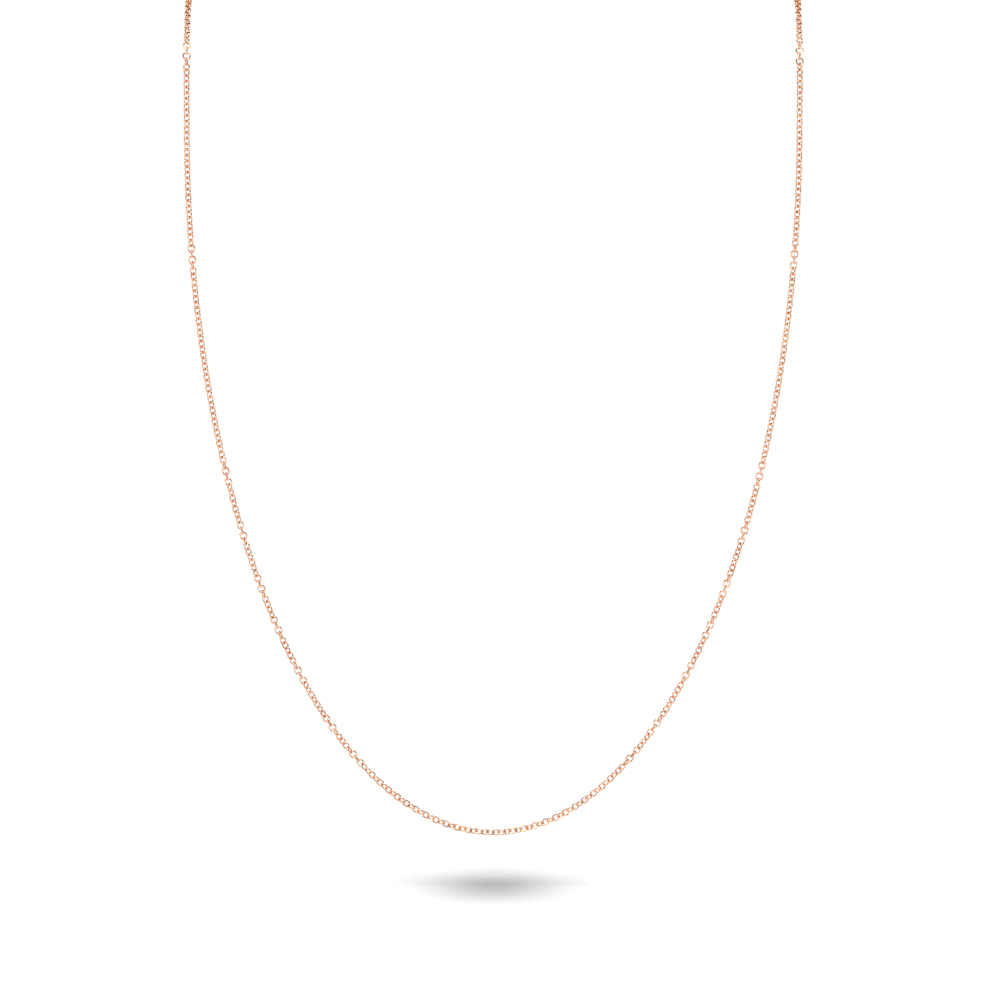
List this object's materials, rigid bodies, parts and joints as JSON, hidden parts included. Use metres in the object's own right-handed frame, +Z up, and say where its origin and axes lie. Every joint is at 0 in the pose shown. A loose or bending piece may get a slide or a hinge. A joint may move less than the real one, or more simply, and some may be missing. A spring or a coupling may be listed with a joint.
{
  "type": "chain necklace",
  "caption": "Fine cable-chain necklace worn closed: free links in hinged runs, a spring-ring clasp, jump rings and a plain tag.",
  "frame": {"origin": "middle of the clasp stretch on the nape, where the chain rests on the neck", "axes": "+Z up, +X to the picture's right as seen from the front, the wearer faces -Y"},
  "size_m": [0.1084, 0.0526, 0.1508],
  "materials": {
    "chain_gold": "polished rose-gold plate",
    "clasp_gold": "polished rose-gold plate",
    "spring_steel": "bright drawn wire"
  },
  "bodies": {
    "clasp": {"clasp_tube": "clasp_gold", "clasp_eyelet": "clasp_gold", "clasp_spring": "spring_steel"},
    "bolt": {"clasp_bolt": "clasp_gold"},
    "right_ring": {"jump_ring_right": "clasp_gold"},
    "left_ring": {"end_ring": "clasp_gold"},
    "tag": {"end_tag": "clasp_gold"},
    "right_run_01": {"right_run_01": "chain_gold"},
    "left_run_01": {"left_run_01": "chain_gold", "jump_ring_left": "clasp_gold"},
    "right_run_02": {"right_run_02": "chain_gold"},
    "left_run_02": {"left_run_02": "chain_gold"},
    "right_run_03": {"right_run_03": "chain_gold"},
    "left_run_03": {"left_run_03": "chain_gold"},
    "right_run_04": {"right_run_04": "chain_gold"},
    "left_run_04": {"left_run_04": "chain_gold"},
    "right_run_05": {"right_run_05": "chain_gold"},
    "left_run_05": {"left_run_05": "chain_gold"},
    "right_run_06": {"right_run_06": "chain_gold"},
    "left_run_06": {"left_run_06": "chain_gold"},
    "right_run_07": {"right_run_07": "chain_gold"},
    "left_run_07": {"left_run_07": "chain_gold"},
    "right_run_08": {"right_run_08": "chain_gold"},
    "left_run_08": {"left_run_08": "chain_gold"},
    "right_run_09": {"right_run_09": "chain_gold"},
    "left_run_09": {"left_run_09": "chain_gold"},
    "right_run_10": {"right_run_10": "chain_gold"},
    "left_run_10": {"left_run_10": "chain_gold"},
    "right_run_11": {"right_run_11": "chain_gold"},
    "left_run_11": {"left_run_11": "chain_gold"},
    "right_run_12": {"right_run_12": "chain_gold"},
    "left_run_12": {"left_run_12": "chain_gold"},
    "right_run_13": {"right_run_13": "chain_gold"},
    "left_run_13": {"left_run_13": "chain_gold"},
    "right_run_14": {"right_run_14": "chain_gold"},
    "left_run_14": {"left_run_14": "chain_gold"},
    "right_run_15": {"right_run_15": "chain_gold"},
    "left_run_15": {"left_run_15": "chain_gold"},
    "right_run_16": {"right_run_16": "chain_gold"},
    "left_run_16": {"left_run_16": "chain_gold"},
    "right_run_17": {"right_run_17": "chain_gold"},
    "left_run_17": {"left_run_17": "chain_gold"},
    "right_run_18": {"right_run_18": "chain_gold"},
    "left_run_18": {"left_run_18": "chain_gold"},
    "right_run_19": {"right_run_19": "chain_gold"},
    "left_run_19": {"left_run_19": "chain_gold"},
    "right_run_20": {"right_run_20": "chain_gold"},
    "left_run_20": {"left_run_20": "chain_gold"},
    "right_run_21": {"right_run_21": "chain_gold"},
    "left_run_21": {"left_run_21": "chain_gold"},
    "right_run_22": {"right_run_22": "chain_gold"},
    "left_run_22": {"left_run_22": "chain_gold"}
  },
  "joints": [
    {"name": "nape_swing", "type": "hinge", "parent": "clasp", "child": "right_ring", "pos_m": [0.00415, 0, 0], "axis": [1, 0, 0], "range_deg": [-25, 25]},
    {"name": "nape_swing_left", "type": "hinge", "parent": "clasp", "child": "left_ring", "pos_m": [-0.00235, 0, 0], "axis": [1, 0, 0], "range_deg": [-25, 25]},
    {"name": "ring_swing", "type": "hinge", "parent": "right_ring", "child": "right_run_01", "pos_m": [0.00533, 0, 0], "axis": [-1, 0, 0], "range_deg": [-20, 20]},
    {"name": "ring_swing_left", "type": "hinge", "parent": "left_ring", "child": "left_run_01", "pos_m": [-0.00415, 0, 0], "axis": [-1, 0, 0], "range_deg": [-20, 20]},
    {"name": "back_lift_1", "type": "hinge", "parent": "right_run_01", "child": "right_run_02", "pos_m": [0.01628, -0.00092, 0], "axis": [1, 0, 0], "range_deg": [-20, 20]},
    {"name": "back_lift_1_left", "type": "hinge", "parent": "left_run_01", "child": "left_run_02", "pos_m": [-0.01628, -0.00092, 0], "axis": [1, 0, 0], "range_deg": [-20, 20]},
    {"name": "back_lift_2", "type": "hinge", "parent": "right_run_02", "child": "right_run_03", "pos_m": [0.0269, -0.00371, 0], "axis": [-1, 0, 0], "range_deg": [-20, 20]},
    {"name": "back_lift_2_left", "type": "hinge", "parent": "left_run_02", "child": "left_run_03", "pos_m": [-0.0269, -0.00371, 0], "axis": [-1, 0, 0], "range_deg": [-20, 20]},
    {"name": "back_lift_3", "type": "hinge", "parent": "right_run_03", "child": "right_run_04", "pos_m": [0.03679, -0.00849, 0], "axis": [1, 0, 0], "range_deg": [-20, 20]},
    {"name": "back_lift_3_left", "type": "hinge", "parent": "left_run_03", "child": "left_run_04", "pos_m": [-0.03679, -0.00849, 0], "axis": [1, 0, 0], "range_deg": [-20, 20]},
    {"name": "back_lift_4", "type": "hinge", "parent": "right_run_04", "child": "right_run_05", "pos_m": [0.04527, -0.01544, 0], "axis": [-1, 0, 0], "range_deg": [-20, 20]},
    {"name": "back_lift_4_left", "type": "hinge", "parent": "left_run_04", "child": "left_run_05", "pos_m": [-0.04527, -0.01544, 0], "axis": [-1, 0, 0], "range_deg": [-20, 20]},
    {"name": "back_lift_5", "type": "hinge", "parent": "right_run_05", "child": "right_run_06", "pos_m": [0.05131, -0.02457, 0], "axis": [1, 0, 0], "range_deg": [-20, 20]},
    {"name": "back_lift_5_left", "type": "hinge", "parent": "left_run_05", "child": "left_run_06", "pos_m": [-0.05131, -0.02457, 0], "axis": [1, 0, 0], "range_deg": [-20, 20]},
    {"name": "shoulder_lift_1", "type": "hinge", "parent": "right_run_06", "child": "right_run_07", "pos_m": [0.0535, -0.03527, 0], "axis": [-1, 0, 0], "range_deg": [-20, 20]},
    {"name": "shoulder_lift_1_left", "type": "hinge", "parent": "left_run_06", "child": "left_run_07", "pos_m": [-0.0535, -0.03527, 0], "axis": [-1, 0, 0], "range_deg": [-20, 20]},
    {"name": "shoulder_lift_2", "type": "hinge", "parent": "right_run_07", "child": "right_run_08", "pos_m": [0.0535, -0.04524, -0.00404], "axis": [1, 0, 0], "range_deg": [-20, 20]},
    {"name": "shoulder_lift_2_left", "type": "hinge", "parent": "left_run_07", "child": "left_run_08", "pos_m": [-0.0535, -0.04524, -0.00404], "axis": [1, 0, 0], "range_deg": [-20, 20]},
    {"name": "front_swing", "type": "hinge", "parent": "right_run_12", "child": "right_run_13", "pos_m": [0.05134, -0.05, -0.05762], "axis": [1, 0, 0], "range_deg": [-25, 25]},
    {"name": "front_swing_left", "type": "hinge", "parent": "left_run_12", "child": "left_run_13", "pos_m": [-0.05134, -0.05, -0.05762], "axis": [1, 0, 0], "range_deg": [-25, 25]},
    {"name": "front_fold_1", "type": "hinge", "parent": "right_run_13", "child": "right_run_14", "pos_m": [0.04972, -0.05, -0.0685], "axis": [-1, 0, 0], "range_deg": [-25, 25]},
    {"name": "front_fold_1_left", "type": "hinge", "parent": "left_run_13", "child": "left_run_14", "pos_m": [-0.04972, -0.05, -0.0685], "axis": [-1, 0, 0], "range_deg": [-25, 25]},
    {"name": "front_fold_2", "type": "hinge", "parent": "right_run_14", "child": "right_run_15", "pos_m": [0.04761, -0.05, -0.07929], "axis": [-1, 0, 0], "range_deg": [-25, 25]},
    {"name": "front_fold_2_left", "type": "hinge", "parent": "left_run_14", "child": "left_run_15", "pos_m": [-0.04761, -0.05, -0.07929], "axis": [-1, 0, 0], "range_deg": [-25, 25]},
    {"name": "front_fold_3", "type": "hinge", "parent": "right_run_15", "child": "right_run_16", "pos_m": [0.04496, -0.05, -0.08996], "axis": [1, 0, 0], "range_deg": [-25, 25]},
    {"name": "front_fold_3_left", "type": "hinge", "parent": "left_run_15", "child": "left_run_16", "pos_m": [-0.04496, -0.05, -0.08996], "axis": [1, 0, 0], "range_deg": [-25, 25]},
    {"name": "front_fold_4", "type": "hinge", "parent": "right_run_16", "child": "right_run_17", "pos_m": [0.04169, -0.05, -0.10046], "axis": [1, 0, 0], "range_deg": [-25, 25]},
    {"name": "front_fold_4_left", "type": "hinge", "parent": "left_run_16", "child": "left_run_17", "pos_m": [-0.04169, -0.05, -0.10046], "axis": [1, 0, 0], "range_deg": [-25, 25]},
    {"name": "front_fold_5", "type": "hinge", "parent": "right_run_17", "child": "right_run_18", "pos_m": [0.0377, -0.05, -0.11072], "axis": [-1, 0, 0], "range_deg": [-25, 25]},
    {"name": "front_fold_5_left", "type": "hinge", "parent": "left_run_17", "child": "left_run_18", "pos_m": [-0.0377, -0.05, -0.11072], "axis": [-1, 0, 0], "range_deg": [-25, 25]},
    {"name": "front_fold_6", "type": "hinge", "parent": "right_run_18", "child": "right_run_19", "pos_m": [0.03286, -0.05, -0.12059], "axis": [-1, 0, 0], "range_deg": [-25, 25]},
    {"name": "front_fold_6_left", "type": "hinge", "parent": "left_run_18", "child": "left_run_19", "pos_m": [-0.03286, -0.05, -0.12059], "axis": [-1, 0, 0], "range_deg": [-25, 25]},
    {"name": "front_fold_7", "type": "hinge", "parent": "right_run_19", "child": "right_run_20", "pos_m": [0.02695, -0.05, -0.12986], "axis": [1, 0, 0], "range_deg": [-25, 25]},
    {"name": "front_fold_7_left", "type": "hinge", "parent": "left_run_19", "child": "left_run_20", "pos_m": [-0.02695, -0.05, -0.12986], "axis": [1, 0, 0], "range_deg": [-25, 25]},
    {"name": "front_fold_8", "type": "hinge", "parent": "right_run_20", "child": "right_run_21", "pos_m": [0.01966, -0.05, -0.13807], "axis": [1, 0, 0], "range_deg": [-25, 25]},
    {"name": "front_fold_8_left", "type": "hinge", "parent": "left_run_20", "child": "left_run_21", "pos_m": [-0.01966, -0.05, -0.13807], "axis": [1, 0, 0], "range_deg": [-25, 25]},
    {"name": "front_fold_9", "type": "hinge", "parent": "right_run_21", "child": "right_run_22", "pos_m": [0.01063, -0.05, -0.14427], "axis": [-1, 0, 0], "range_deg": [-20, 20]},
    {"name": "front_fold_9_left", "type": "hinge", "parent": "left_run_21", "child": "left_run_22", "pos_m": [-0.01063, -0.05, -0.14427], "axis": [-1, 0, 0], "range_deg": [-20, 20]},
    {"name": "sway_long", "type": "hinge", "parent": "right_run_08", "child": "right_run_09", "pos_m": [0.0535, -0.04994, -0.01371], "axis": [0, 1, 0], "range_deg": [-12, 12], "stiffness_Nm_per_rad": 0.0001, "springref_deg": 23.55},
    {"name": "sway_long_left", "type": "hinge", "parent": "left_run_08", "child": "left_run_09", "pos_m": [-0.0535, -0.04994, -0.01371], "axis": [0, 1, 0], "range_deg": [-12, 12], "stiffness_Nm_per_rad": 0.0001, "springref_deg": -23.55},
    {"name": "sway_long_return", "type": "hinge", "parent": "right_run_11", "child": "right_run_12", "pos_m": [0.05249, -0.05, -0.04668], "axis": [0, 1, 0], "range_deg": [-12.3, 12.3], "stiffness_Nm_per_rad": 0.0001, "springref_deg": 22.16},
    {"name": "sway_long_return_left", "type": "hinge", "parent": "left_run_11", "child": "left_run_12", "pos_m": [-0.05249, -0.05, -0.04668], "axis": [0, 1, 0], "range_deg": [-12.3, 12.3], "stiffness_Nm_per_rad": 0.0001, "springref_deg": -22.16},
    {"name": "sway_short", "type": "hinge", "parent": "right_run_09", "child": "right_run_10", "pos_m": [0.05349, -0.05, -0.02471], "axis": [0, 1, 0], "range_deg": [-20, 20], "stiffness_Nm_per_rad": 0.0001, "springref_deg": 23.54},
    {"name": "sway_short_left", "type": "hinge", "parent": "left_run_09", "child": "left_run_10", "pos_m": [-0.05349, -0.05, -0.02471], "axis": [0, 1, 0], "range_deg": [-20, 20], "stiffness_Nm_per_rad": 0.0001, "springref_deg": -23.54},
    {"name": "sway_short_return", "type": "hinge", "parent": "right_run_10", "child": "right_run_11", "pos_m": [0.05321, -0.05, -0.0357], "axis": [0, 1, 0], "range_deg": [-20.2, 20.2], "stiffness_Nm_per_rad": 0.0001, "springref_deg": 23.12},
    {"name": "sway_short_return_left", "type": "hinge", "parent": "left_run_10", "child": "left_run_11", "pos_m": [-0.05321, -0.05, -0.0357], "axis": [0, 1, 0], "range_deg": [-20.2, 20.2], "stiffness_Nm_per_rad": 0.0001, "springref_deg": -23.12},
    {"name": "bolt_travel", "type": "hinge", "parent": "clasp", "child": "bolt", "pos_m": [-0.00015, 0, 0], "axis": [0, 1, 0], "range_deg": [0, 46], "stiffness_Nm_per_rad": 0.0006, "springref_deg": -48.7, "deforming": ["clasp_spring"]},
    {"name": "tag_swing", "type": "hinge", "parent": "right_ring", "child": "tag", "pos_m": [0.0046, 0.00095, -0.00005], "axis": [1, 0, 0], "range_deg": [-20, 40]}
  ],
  "couplings": [
    {"joint": "nape_swing_left", "follows": "nape_swing", "ratio": 1},
    {"joint": "ring_swing_left", "follows": "ring_swing", "ratio": 1},
    {"joint": "back_lift_1_left", "follows": "back_lift_1", "ratio": 1},
    {"joint": "back_lift_2_left", "follows": "back_lift_2", "ratio": 1},
    {"joint": "back_lift_3_left", "follows": "back_lift_3", "ratio": 1},
    {"joint": "back_lift_4_left", "follows": "back_lift_4", "ratio": 1},
    {"joint": "back_lift_5_left", "follows": "back_lift_5", "ratio": 1},
    {"joint": "shoulder_lift_1_left", "follows": "shoulder_lift_1", "ratio": 1},
    {"joint": "shoulder_lift_2_left", "follows": "shoulder_lift_2", "ratio": 1},
    {"joint": "front_swing_left", "follows": "front_swing", "ratio": 1},
    {"joint": "front_fold_1_left", "follows": "front_fold_1", "ratio": 1},
    {"joint": "front_fold_2_left", "follows": "front_fold_2", "ratio": 1},
    {"joint": "front_fold_3_left", "follows": "front_fold_3", "ratio": 1},
    {"joint": "front_fold_4_left", "follows": "front_fold_4", "ratio": 1},
    {"joint": "front_fold_5_left", "follows": "front_fold_5", "ratio": 1},
    {"joint": "front_fold_6_left", "follows": "front_fold_6", "ratio": 1},
    {"joint": "front_fold_7_left", "follows": "front_fold_7", "ratio": 1},
    {"joint": "front_fold_8_left", "follows": "front_fold_8", "ratio": 1},
    {"joint": "front_fold_9_left", "follows": "front_fold_9", "ratio": 1},
    {"joint": "sway_long_left", "follows": "sway_long", "ratio": 1},
    {"joint": "sway_long_return", "follows": "sway_long", "ratio": -1.0192},
    {"joint": "sway_long_return_left", "follows": "sway_long", "ratio": -1.0192},
    {"joint": "sway_short_left", "follows": "sway_short", "ratio": 1},
    {"joint": "sway_short_return", "follows": "sway_short", "ratio": -1.0054},
    {"joint": "sway_short_return_left", "follows": "sway_short", "ratio": -1.0054}
  ]
}
